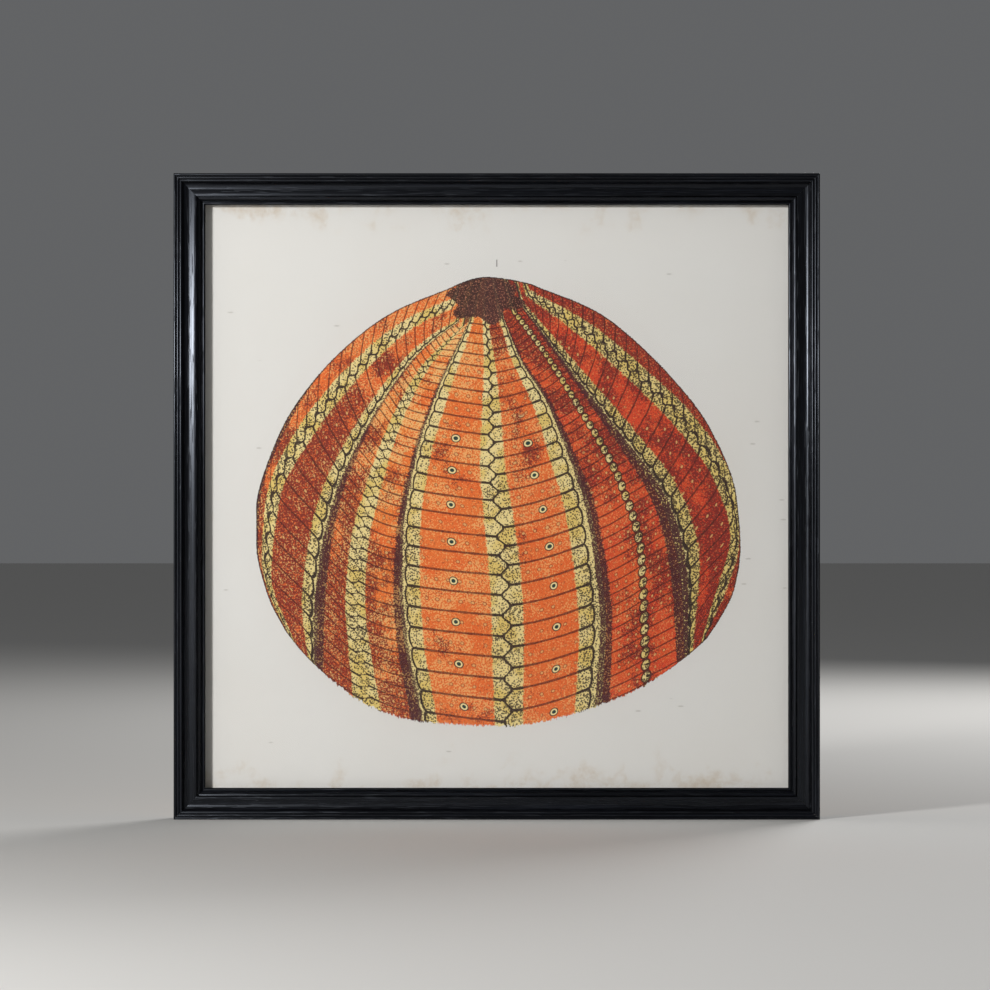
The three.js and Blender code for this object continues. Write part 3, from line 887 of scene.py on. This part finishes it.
def printed_paper(name, art):
    """Aged paper with the shell printed on it: flat colours, then stipple, then drawn lines."""
    paint = Paint(name).set(roughness=0.85)
    across, number, width = paint.triple("place")
    pitch, side, zig = paint.triple("plates")
    seam, cells, band = paint.triple("fields")
    ends, bulge, slant = paint.triple("ends")
    red, stipple, mottle = paint.triple("tones")
    inside, column, _ = paint.triple("edge")
    x, _, z = paint.parts(paint.places)
    line, wobble = art.line_width / MM, art.wobble / MM

    # Hand-drawn unevenness, in millimetres
    stray = (paint.noise(110.0) - 0.5) * (3.0 * wobble)
    other_stray = (paint.noise(140.0, shift=(0.4, 0.2, 0.9)) - 0.5) * (3.0 * wobble)
    jag = (paint.noise(700.0, rough=0.7) - 0.5) * 5.5
    pen = line * (paint.noise(190.0, shift=(0.8, 0.3, 0.1)) + 0.5)
    pen = pen * (pitch * 0.05 + 0.5)

    # Where the place lies among the plates
    here = across + stray / width
    wave = ((1.0 - number.off_whole() * 4.0) * 1.5).at_least(-1.0).at_most(1.0)
    past_seam = (here - side * zig * wave) * width
    own = number + (0.25 - side * 0.25) + slant * here
    suture = own.off_whole() * pitch + other_stray * 0.4
    swell = (own * math.pi).math("SINE").size().math("POWER", 0.55)
    past_end = (here - ends - bulge * swell) * width

    # Flat colours, with dark and light flecks thickest in patches
    cloud = paint.noise(42.0, detail=3.0, rough=0.6)
    patch = paint.noise(34.0, detail=4.0, rough=0.6, shift=(0.2, 0.5, 0.3))
    grain = paint.noise(640.0, rough=0.8)
    light_grain = paint.noise(720.0, detail=1.0, shift=(0.6, 0.1, 0.8))
    orange = paint.mix(cloud.over(0.5, 0.3), art.orange, art.light_orange)
    redness = (red + (cloud - 0.5) * 1.5).at_most(1.0).at_least(0.0)
    plate = paint.mix(redness, orange, art.red)
    patchy = (patch + (mottle - 0.5) * 0.34).over(0.56, 0.2)
    margin = ((here - seam) * width - 5.0).size().under(5.0, 6.0)
    worked = (patchy + margin * mottle * 0.4).at_most(1.0)
    dark_fleck = (grain + worked * 0.2).over(0.62, 0.1)
    plate = paint.mix(dark_fleck * (worked * 0.4 + 0.5), plate, art.brick)
    sandy = paint.noise(55.0, shift=(0.1, 0.9, 0.6)).over(0.5, 0.2) * (1.0 - red)
    light_fleck = (light_grain + sandy * 0.13 - worked * 0.05).over(0.6, 0.08)
    plate = paint.mix(light_fleck * (0.56 - red * 0.3 + sandy * 0.2), plate, art.sand)

    # Small bumps in rows along the plates
    bump_side = (here * width * 0.12).off_whole() * 8.3
    bump = bump_side.far_from((own - 0.5).off_whole() * pitch) + stray * 0.5
    bumpy = patch.over(0.46, 0.06) * width.over(24.0, 8.0)
    plate = paint.mix(bump.under(1.5, 0.4) * bumpy * 0.6, plate, art.brick)
    plate = paint.mix(bump.under(0.95, 0.4) * bumpy * 0.7, plate, art.sand)

    # Rows of round beads where a seam has no zigzag
    beaded = 1.0 - zig.over(0.01, 0.005)
    bead_side = here * width
    bead = bead_side.far_from(number.off_whole() * pitch) - pitch * 0.36
    between = bead_side.under(pitch * 0.3, 1.5)
    dark_round = beaded * between.either(bead.under(pen * 1.6, 0.6)) * 0.9
    plate = paint.mix(dark_round, plate, art.line)
    beside = ((here - seam) * width + jag).under(0.0, 0.6) * (1.0 - beaded)
    beside = beside.either(bead.under(0.0, 0.6) * beaded)
    outer = ((cells - here) * width + jag).under(0.0, 0.6)
    yellow = beside.either(outer)
    tint = paint.noise(60.0, shift=(0.7, 0.7, 0.2)).over(0.48, 0.2)
    cell_colour = paint.mix(tint * (1.0 - stipple * 0.4), art.yellow, art.pale)
    colour = paint.mix(yellow, plate, cell_colour)
    strip = past_end.over(0.0, 0.3)
    colour = paint.mix(strip, colour, paint.mix(0.35, art.pale, art.yellow))

    # Stipple: dark dots, thickest on the yellow
    dot_distance, dot_tone = paint.cells(700.0)
    dotted = yellow.either(strip)
    spread = (stipple * 0.24 + (patch - 0.5) * 0.5 + 0.3) * (dotted * 0.85 + 0.15)
    dots = (dot_distance + dot_tone * 0.12).under(spread.at_most(0.6), 0.14)
    colour = paint.mix(dots * 0.88, colour, art.line)

    # Purple bands between the kinds of plate
    banded = ((band - here) * width + jag).under(0.0, 0.5)
    band_ink = paint.mix(light_fleck * (stipple - 0.5) * 0.7, art.purple, art.yellow)
    colour = paint.mix(banded * (1.0 - light_fleck * 0.35) * 0.96, colour, band_ink)

    # Drawn lines
    zigzag = past_seam.size().under(pen, 0.5) * (1.0 - beaded)
    sutures = suture.under(pen * (dotted * 0.2 + 0.8), 0.5)
    sutures = sutures * past_seam.over(0.0, 0.2) * past_end.under(0.0, 0.2)
    rounded = past_end.size().under(pen, 0.5)
    drawn = zigzag.either(sutures * dotted).either(rounded)
    colour = paint.mix(sutures * (1.0 - dotted) * (grain * 0.6 + 0.5), colour, art.brown)
    colour = paint.mix(drawn * 0.96, colour, art.line)

    # Rings and their dark pores on the two middle columns
    middle = column.over(4.0, 0.02) * column.under(6.0, 0.02) * number.over(FIRST_PORE_PLATE, 0.5)
    pore_side = (here - 0.45) * width
    pore_down = (own * 0.5 - 0.25).off_whole() * 2.0 * pitch
    pore = pore_side.far_from(pore_down) + stray * 0.6
    for radius, ink in PORE_RINGS:
        colour = paint.mix(pore.under(radius, 0.5) * middle, colour, getattr(art, ink))

    # The crown, and the outline round the upper part
    crowned = (crown_depth(x, z) + jag + stray * 3.0 + (cloud - 0.5) * 12.0).over(0.0, 0.5)
    crown_grain = paint.noise(760.0, rough=0.8)
    crown_ink = paint.mix(patch.over(0.5, 0.2) * 0.5, art.crown, art.crown_light)
    crown_ink = paint.mix(crown_grain.over(0.59, 0.06) * 0.7, crown_ink, art.crown_fleck)
    colour = paint.mix(crowned * 0.96, colour, crown_ink)
    upper = z.over(OUTLINE_END, 0.04)
    outlined = (inside + jag * 0.3).under(1.1, 0.5) * upper
    colour = paint.mix(outlined * 0.85, colour, art.line)

    # The ink on the bare paper, with a ragged edge below
    sheet = bare_paper(paint, art, x, z)
    ragged = (paint.noise(500.0, detail=3.0, rough=0.8, stretch=(1.0, 1.0, 0.3)) - 0.42) * 9.0
    inked = (inside - ragged * (1.0 - upper) + jag * 0.3).over(0.2, 0.3)
    paint.link("Base Color", paint.mix(inked, sheet, colour))
    paint.bump(paint.noise(520.0, detail=4.0, rough=0.7), 0.06 * MM, 0.6)
    return paint.material


# ---------------------------------------------------------------- operators


def hanger_x(hand):
    low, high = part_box(f"hanger_strap_{hand}")
    return (low.x + high.x) / 2


def screw_places(hardware):
    """(x, z) of each of the four hanger screws."""
    drops = (hardware.screw_upper, hardware.screw_lower)
    return [(hanger_x(hand), hardware.bar_height - drop) for hand in HANDS for drop in drops]


class FRAMEDPRINT_OT_rails(bpy.types.Operator):
    """Shape one length of moulding, cut its mitres, and turn copies of it round the frame"""

    bl_idname = "framedprint.rails"
    bl_label = "Make the Rails"

    def stations(self, rail):
        """(distance in from the outer edge, depth behind the front) across the moulding's face."""
        places = []
        for reed in range(REEDS):
            for step in range(REED_STEPS):
                part = step / REED_STEPS
                dome = 4 * part * (1 - part)
                places.append(((reed + part) * rail.reed_pitch, rail.reed_height * (1 - dome**0.8)))
        edge = REEDS * rail.reed_pitch
        shares = np.linspace(0, 1, SCOOP_STEPS + 1)
        scoop = through(np.reshape(SCOOP_DEPTHS, (-1, 1)), shares * (len(SCOOP_DEPTHS) - 1))
        for part, depth in zip(shares, scoop[:, 0]):
            places.append((edge + part * rail.hollow_width, depth * MM))
        edge += rail.hollow_width
        places.append((edge + rail.quirk_width * 0.5, rail.quirk_depth))
        edge += rail.quirk_width
        for part, drop in FILLET_PROFILE:
            places.append((edge + part * rail.fillet_width, rail.fillet_depth + drop * MM))
        edge += rail.fillet_width
        top = places[-1][1]
        for step in range(1, SLOPE_STEPS + 1):
            part = step / SLOPE_STEPS
            drop = (rail.slope_foot - top) * part**1.7
            places.append((edge + part * rail.slope_width, top + drop))
        edge += rail.slope_width
        for part, drop in LIP_PROFILE:
            places.append((edge + part * (RAIL_WIDTH - edge), rail.lip_crest + drop * MM))
        places.append((RAIL_WIDTH, rail.sight_edge))
        return places

    def execute(self, context):
        rail = context.scene.print_rails
        low = (-FRAME_HALF, FRONT_Y, -FRAME_HALF)
        high = (FRAME_HALF, RAIL_BACK_Y, RAIL_WIDTH - FRAME_HALF)
        piece = box_blank("rail_bottom", low, high)
        near = 2 * NEAR
        wall = RAIL_WIDTH - rail.rabbet_width
        bpy.ops.object.mode_set(mode="EDIT")
        places = self.stations(rail)
        for inward, _ in places[1:-1]:
            cut_across((0, 0, inward - FRAME_HALF), (0, 0, 1))
        cut_across((0, 0, wall - FRAME_HALF), (0, 0, 1))
        cut_across((0, 0, wall + 2 * near - FRAME_HALF), (0, 0, 1))
        for inward, depth in places:
            shift_vertices(
                piece,
                lambda co: abs(co.z - inward + FRAME_HALF) < near and co.y < FRONT_Y + near,
                (0, depth, 0),
            )
        shift_vertices(
            piece,
            lambda co: co.z > wall + near - FRAME_HALF and co.y > RAIL_BACK_Y - near,
            (0, FRONT_Y + rail.lip_back - RAIL_BACK_Y, 0),
        )
        for side in (-1, 1):
            mitre_foot = (side * (FRAME_HALF - MITRE_HAIRLINE), 0, -FRAME_HALF)
            cut_across(mitre_foot, (side, 0, 1), clear_outer=True, use_fill=True)
        outward(piece)
        round_edges(piece, rail.edge_round, segments=2, angle=28.0)
        smooth(piece, 40.0)
        level = stained_wood("StainedWoodLevel", rail, 0)
        upright = stained_wood("StainedWoodUpright", rail, 2)
        turns = {"bottom": 0.0, "right": -math.pi / 2, "top": math.pi, "left": math.pi / 2}
        for side, turn in turns.items():
            rail_piece = copy_piece(piece, f"rail_{side}_finish")
            if turn:
                rail_piece.rotation_euler = (0, turn, 0)
                settle(rail_piece)
            wood = upright if side in HANDS else level
            finish_piece(rail_piece, wood, BODY, f"rail_{side}")
        bpy.data.objects.remove(piece, do_unlink=True)
        return {"FINISHED"}


class FRAMEDPRINT_OT_art(bpy.types.Operator):
    """Lay out the printed sheet, with a grid of faces over the drawn shell's columns"""

    bl_idname = "framedprint.art"
    bl_label = "Make the Print"

    def execute(self, context):
        low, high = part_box("print_sheet")
        piece = bpy.data.objects.new("print_sheet_art", print_mesh(low, high))
        bpy.context.collection.objects.link(piece)
        name_piece(piece, "print_sheet_art")
        paper = printed_paper("PrintedPaper", context.scene.print_art)
        finish_piece(piece, paper, BODY, "print_sheet")
        return {"FINISHED"}


class FRAMEDPRINT_OT_inner_finishes(bpy.types.Operator):
    """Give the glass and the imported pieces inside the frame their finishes"""

    bl_idname = "framedprint.inner_finishes"
    bl_label = "Finish the Inner Pieces"

    def execute(self, context):
        finishes = {
            "glazing": glass_pane("PictureGlass"),
            "spacer_": dark_moulding("SpacerStrip", SPACER_BLACK, 0.6, 500.0),
            "backing_board": fibreboard("BackingBoard"),
            ("point_", "v_nail_"): steel("PlainSteel", PLAIN_STEEL, 0.38, 900.0),
        }
        for name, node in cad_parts.items():
            for start, finish in finishes.items():
                if name.startswith(start):
                    paint_piece(node, finish)
        return {"FINISHED"}


class FRAMEDPRINT_OT_dust_cover(bpy.types.Operator):
    """Stretch brown paper over the back, a little uneven between the rails"""

    bl_idname = "framedprint.dust_cover"
    bl_label = "Make the Dust Cover"

    def execute(self, context):
        hardware = context.scene.print_hardware
        low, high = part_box("dust_cover")
        bpy.ops.mesh.primitive_grid_add(
            x_subdivisions=90, y_subdivisions=90, size=1.0, location=(0, low.y, 0),
            rotation=(math.pi / 2, 0, 0),
        )
        piece = name_piece(bpy.context.active_object, "dust_cover_paper")
        piece.scale = (high.x - low.x, high.z - low.z, 1)
        settle(piece)

        # The paper lies flat where it is glued to the rails and gives way over the next 30 mm
        edge, slope = FRAME_HALF - RAIL_WIDTH + 4 * MM, 30 * MM
        free = piece.vertex_groups.new(name="free")
        for vertex in piece.data.vertices:
            inside = edge - max(abs(vertex.co.x), abs(vertex.co.z))
            share = min(max(inside / slope, 0.0), 1.0)
            free.add([vertex.index], share * share * (3 - 2 * share), "REPLACE")
        ripples = bpy.data.textures.new("paper_ripples", "CLOUDS")
        ripples.noise_scale = 0.09
        apply_modifier(
            piece, "DISPLACE", texture=ripples, strength=hardware.cover_sag, mid_level=0.35,
            vertex_group="free",
        )
        apply_modifier(piece, "SOLIDIFY", thickness=high.y - low.y, offset=-1.0)
        outward(piece)
        for x, z in screw_places(hardware):
            drill(piece, x, z, hardware.screw_clearance, low.y, high.y, 24)
        smooth(piece, 30.0)
        finish_piece(piece, kraft("KraftPaper"), BODY, "dust_cover")
        return {"FINISHED"}


class FRAMEDPRINT_OT_straps(bpy.types.Operator):
    """Curl each hanger strap round its ring's bar and cut its screw holes"""

    bl_idname = "framedprint.straps"
    bl_label = "Make the Hanger Straps"

    def execute(self, context):
        hardware = context.scene.print_hardware
        zinc = steel("ZincPlate", STRAP_ZINC, 0.24, 260.0)
        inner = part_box("hanger_strap_left")[0].y
        half = hardware.strap_width / 2
        for hand in HANDS:
            x = hanger_x(hand)
            top = hardware.bar_height
            piece = box_blank(
                f"hanger_strap_{hand}_plated", (x - half, inner, top - hardware.strap_length),
                (x + half, inner + hardware.strap_thickness, top),
            )
            bpy.ops.object.mode_set(mode="EDIT")
            self.select_above(piece, top)
            bpy.ops.mesh.delete(type="ONLY_FACE")
            self.select_above(piece, top)
            reach = hardware.wire_radius + RING_CLEARANCE + hardware.strap_thickness
            bpy.ops.mesh.spin(
                steps=26, angle=hardware.curl, center=(x, inner + reach, top), axis=(1, 0, 0)
            )
            bpy.ops.mesh.edge_face_add()
            self.select_lower_corners(piece, top - hardware.strap_length)
            bpy.ops.mesh.bevel(offset=hardware.strap_end_round, segments=8, affect="EDGES")
            outward(piece)
            outer = inner + hardware.strap_thickness
            for place_x, z in screw_places(hardware):
                if abs(place_x - x) < half:
                    drill(piece, x, z, hardware.screw_clearance, inner, outer, 32)
            round_edges(piece, 0.12 * MM, segments=2, angle=40.0)
            smooth(piece, 35.0)
            finish_piece(piece, zinc, BODY, f"hanger_strap_{hand}")
        return {"FINISHED"}

    def select_above(self, piece, height):
        select_vertices(piece, lambda co: co.z > height - NEAR)

    def select_lower_corners(self, piece, end):
        """Selects the two edges through the strap's thickness at its end."""
        bpy.ops.mesh.select_mode(type="EDGE")
        bpy.ops.mesh.select_all(action="DESELECT")
        for line in bmesh.from_edit_mesh(piece.data).edges:
            first, last = (vertex.co for vertex in line.verts)
            at_end = max(first.z, last.z) < end + NEAR
            line.select = at_end and abs(first.x - last.x) < NEAR
        bmesh.update_edit_mesh(piece.data)


class FRAMEDPRINT_OT_rings(bpy.types.Operator):
    """Bend each D-shaped wire ring, with its two ends inside the strap"""

    bl_idname = "framedprint.rings"
    bl_label = "Make the D-Rings"

    def execute(self, context):
        hardware = context.scene.print_hardware
        zinc = steel("ZincWire", WIRE_ZINC, 0.2, 500.0)
        half, corner, side = hardware.ring_half_width, hardware.ring_corner, hardware.ring_side
        flat = half - corner - hardware.ring_gap / 2
        bar_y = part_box("hanger_strap_left")[0].y
        bar_y += hardware.wire_radius + RING_CLEARANCE + hardware.strap_thickness
        for hand in HANDS:
            deselect_all()
            bpy.ops.mesh.primitive_circle_add(
                vertices=20, radius=hardware.wire_radius, location=(hardware.ring_gap / 2, 0, 0),
                rotation=(0, math.pi / 2, 0),
            )
            piece = name_piece(bpy.context.active_object, f"d_ring_{hand}_plated")
            settle(piece)
            bpy.ops.object.mode_set(mode="EDIT")
            bpy.ops.mesh.select_all(action="SELECT")
            self.run_on((flat, 0, 0))
            self.bend((half - corner, 0, corner), math.pi / 2, 10)
            self.run_on((0, 0, side - corner))
            self.bend((0, 0, side), math.pi, 36)
            self.run_on((0, 0, corner - side))
            self.bend((corner - half, 0, corner), math.pi / 2, 10)
            self.run_on((flat, 0, 0))
            bpy.ops.mesh.select_mode(type="EDGE")
            bpy.ops.mesh.select_all(action="DESELECT")
            bpy.ops.mesh.select_non_manifold()
            bpy.ops.mesh.fill_holes(sides=0)
            outward(piece)
            smooth(piece, 35.0)
            piece.rotation_euler = (hardware.ring_lean, 0, 0)
            piece.location = (hanger_x(hand), bar_y, hardware.bar_height)
            settle(piece)
            finish_piece(piece, zinc, f"ring_{hand}", f"d_ring_{hand}")
        return {"FINISHED"}

    def run_on(self, shift):
        bpy.ops.mesh.extrude_region_move(TRANSFORM_OT_translate={"value": shift})

    def bend(self, centre, angle, steps):
        bpy.ops.mesh.spin(steps=steps, angle=angle, center=centre, axis=(0, 1, 0))


class FRAMEDPRINT_OT_screws(bpy.types.Operator):
    """Turn a pan-head screw with a cross recess and set one in each strap hole"""

    bl_idname = "framedprint.screws"
    bl_label = "Make the Screws"

    def execute(self, context):
        hardware = context.scene.print_hardware
        zinc = steel("ZincScrew", SCREW_ZINC, 0.26, 700.0)
        first = self.screw(hardware)
        # How far each was turned when it was driven home
        turns = {"left_upper": 0.85, "left_lower": 1.45, "right_upper": 0.35, "right_lower": 0.95}
        for hand in HANDS:
            for place, drop in (("upper", hardware.screw_upper), ("lower", hardware.screw_lower)):
                name = f"screw_{hand}_{place}"
                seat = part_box(name)[1].y - hardware.head_height
                piece = copy_piece(first, f"{name}_plated")
                piece.rotation_euler = (0, turns[f"{hand}_{place}"], 0)
                piece.location = (hanger_x(hand), seat, hardware.bar_height - drop)
                settle(piece)
                finish_piece(piece, zinc, BODY, name)
        bpy.data.objects.remove(first, do_unlink=True)
        return {"FINISHED"}

    def screw(self, hardware):
        """A screw along Y with its head's underside at y = 0."""
        start = hardware.screw_point - hardware.shank_length
        piece = rod_blank("screw", 0, 0, hardware.shank_radius, start, 0, 32)
        bpy.ops.object.mode_set(mode="EDIT")
        select_vertices(piece, lambda co: co.y < start + NEAR)
        self.carry_on(-hardware.screw_point, 0.06)
        select_vertices(piece, lambda co: co.y > -NEAR)
        self.carry_on(0.0, hardware.head_radius / hardware.shank_radius)
        self.carry_on(hardware.head_rim, 1.0)
        radius, height = 1.0, 0.0
        dome = hardware.head_height - hardware.head_rim
        for degrees in (20, 40, 58, 74):
            turned = math.radians(degrees)
            self.carry_on(dome * (math.sin(turned) - height), math.cos(turned) / radius)
            radius, height = math.cos(turned), math.sin(turned)
        self.carry_on(dome * (1.0 - height), 0.1)
        outward(piece)
        long, short = hardware.recess_span / 2, hardware.recess_width / 2
        floor = hardware.head_height - hardware.recess_depth
        for x, z in ((long, short), (short, long)):
            cutter = box_blank("recess", (-x, floor, -z), (x, hardware.head_height + MM, z))
            subtract(piece, cutter)
        round_edges(piece, 0.08 * MM, segments=2, angle=50.0)
        smooth(piece, 35.0)
        return piece

    def carry_on(self, shift, scale):
        """Carries the selected end on by shift, made wider or narrower by scale."""
        bpy.ops.mesh.extrude_region_move(TRANSFORM_OT_translate={"value": (0, shift, 0)})
        bpy.ops.transform.resize(value=(scale, 1, scale), center_override=(0, 0, 0))


class FRAMEDPRINT_OT_bumpers(bpy.types.Operator):
    """Make the four rubber feet that keep the frame off the wall"""

    bl_idname = "framedprint.bumpers"
    bl_label = "Make the Bumpers"

    def execute(self, context):
        rubber = dark_moulding("BumperRubber", RUBBER_BLACK, 0.55, 700.0)
        for corner in CORNERS:
            low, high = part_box(f"bumper_{corner}")
            middle, radius = (low + high) / 2, (high.x - low.x) / 2
            name = f"bumper_{corner}_moulded"
            piece = rod_blank(name, middle.x, middle.z, radius, low.y, high.y, 48)
            bpy.ops.object.mode_set(mode="EDIT")
            select_vertices(piece, lambda co: co.y > high.y - NEAR)
            bpy.ops.mesh.select_mode(type="FACE")
            bpy.ops.mesh.inset(thickness=2.2 * MM, depth=0.0)
            bpy.ops.mesh.inset(thickness=0.5 * MM, depth=-0.35 * MM)
            bpy.ops.object.mode_set(mode="OBJECT")
            outward(piece)
            round_edges(piece, 0.5 * MM, segments=4, angle=50.0)
            smooth(piece, 35.0)
            finish_piece(piece, rubber, BODY, f"bumper_{corner}")
        return {"FINISHED"}


class FRAMEDPRINT_OT_stage(bpy.types.Operator):
    """Set up the studio: a pale floor, soft lamps and the camera straight in front"""

    bl_idname = "framedprint.stage"
    bl_label = "Make the Studio"

    def lamp(self, name, place, aim, size, power):
        deselect_all()
        bpy.ops.object.light_add(type="AREA", location=place)
        lamp = bpy.context.active_object
        lamp.name = name
        lamp.data.shape = "DISK"
        lamp.data.size = size
        lamp.data.energy = power
        lamp.rotation_euler = (Vector(aim) - Vector(place)).to_track_quat("-Z", "Y").to_euler()

    def execute(self, context):
        stage = context.scene.print_stage
        deselect_all()
        bpy.ops.mesh.primitive_plane_add(size=24.0, location=(0, 0, CAD_LOW.z))
        floor = name_piece(bpy.context.active_object, "studio_floor")
        floor.data.materials.append(floor_paint("StudioFloor", stage.floor_colour))

        self.lamp("key_lamp", KEY_PLACE, (0, FRONT_Y, 0), 0.32, stage.key_power)
        self.lamp("back_lamp", BACK_PLACE, (0, 0, 0), 1.2, stage.back_power)

        world = bpy.data.worlds.new("StudioRoom")
        world.use_nodes = True
        background = world.node_tree.nodes["Background"]
        background.inputs["Color"].default_value = (0.95, 0.97, 1.0, 1.0)
        background.inputs["Strength"].default_value = stage.sky
        context.scene.world = world
        context.scene.view_settings.view_transform = "Standard"

        deselect_all()
        bpy.ops.object.camera_add(
            location=(CAMERA_X, FRONT_Y - stage.distance, CAMERA_Z), rotation=(math.pi / 2, 0, 0)
        )
        camera = bpy.context.active_object
        camera.name = "camera"
        camera.data.lens = camera.data.sensor_width * stage.distance / stage.view_width
        context.scene.camera = camera
        return {"FINISHED"}


OPERATORS = (
    FRAMEDPRINT_OT_stage,
    FRAMEDPRINT_OT_rails,
    FRAMEDPRINT_OT_art,
    FRAMEDPRINT_OT_inner_finishes,
    FRAMEDPRINT_OT_dust_cover,
    FRAMEDPRINT_OT_straps,
    FRAMEDPRINT_OT_rings,
    FRAMEDPRINT_OT_screws,
    FRAMEDPRINT_OT_bumpers,
)
SETTINGS = {
    "print_rails": PrintRailSettings,
    "print_art": PrintArtSettings,
    "print_hardware": PrintHardwareSettings,
    "print_stage": PrintStageSettings,
}


class FRAMEDPRINT_PT_panel(bpy.types.Panel):
    """The steps that build the framed print, in order"""

    bl_idname = "FRAMEDPRINT_PT_panel"
    bl_label = "Framed Print"
    bl_space_type = "VIEW_3D"
    bl_region_type = "UI"
    bl_category = "Framed Print"

    def draw(self, context):
        for operator in OPERATORS:
            self.layout.operator(operator.bl_idname)


def register():
    for cls in (*SETTINGS.values(), *OPERATORS, FRAMEDPRINT_PT_panel):
        bpy.utils.register_class(cls)
    for name, cls in SETTINGS.items():
        setattr(bpy.types.Scene, name, bpy.props.PointerProperty(type=cls))


def unregister():
    for name in SETTINGS:
        delattr(bpy.types.Scene, name)
    for cls in (FRAMEDPRINT_PT_panel, *reversed(OPERATORS), *reversed(SETTINGS.values())):
        bpy.utils.unregister_class(cls)


def main():
    register()
    bpy.ops.framedprint.stage()
    bpy.ops.framedprint.rails()
    bpy.ops.framedprint.art()
    bpy.ops.framedprint.inner_finishes()
    bpy.ops.framedprint.dust_cover()
    bpy.ops.framedprint.straps()
    bpy.ops.framedprint.rings()
    bpy.ops.framedprint.screws()
    bpy.ops.framedprint.bumpers()
    deselect_all()


if __name__ == "__main__":
    main()
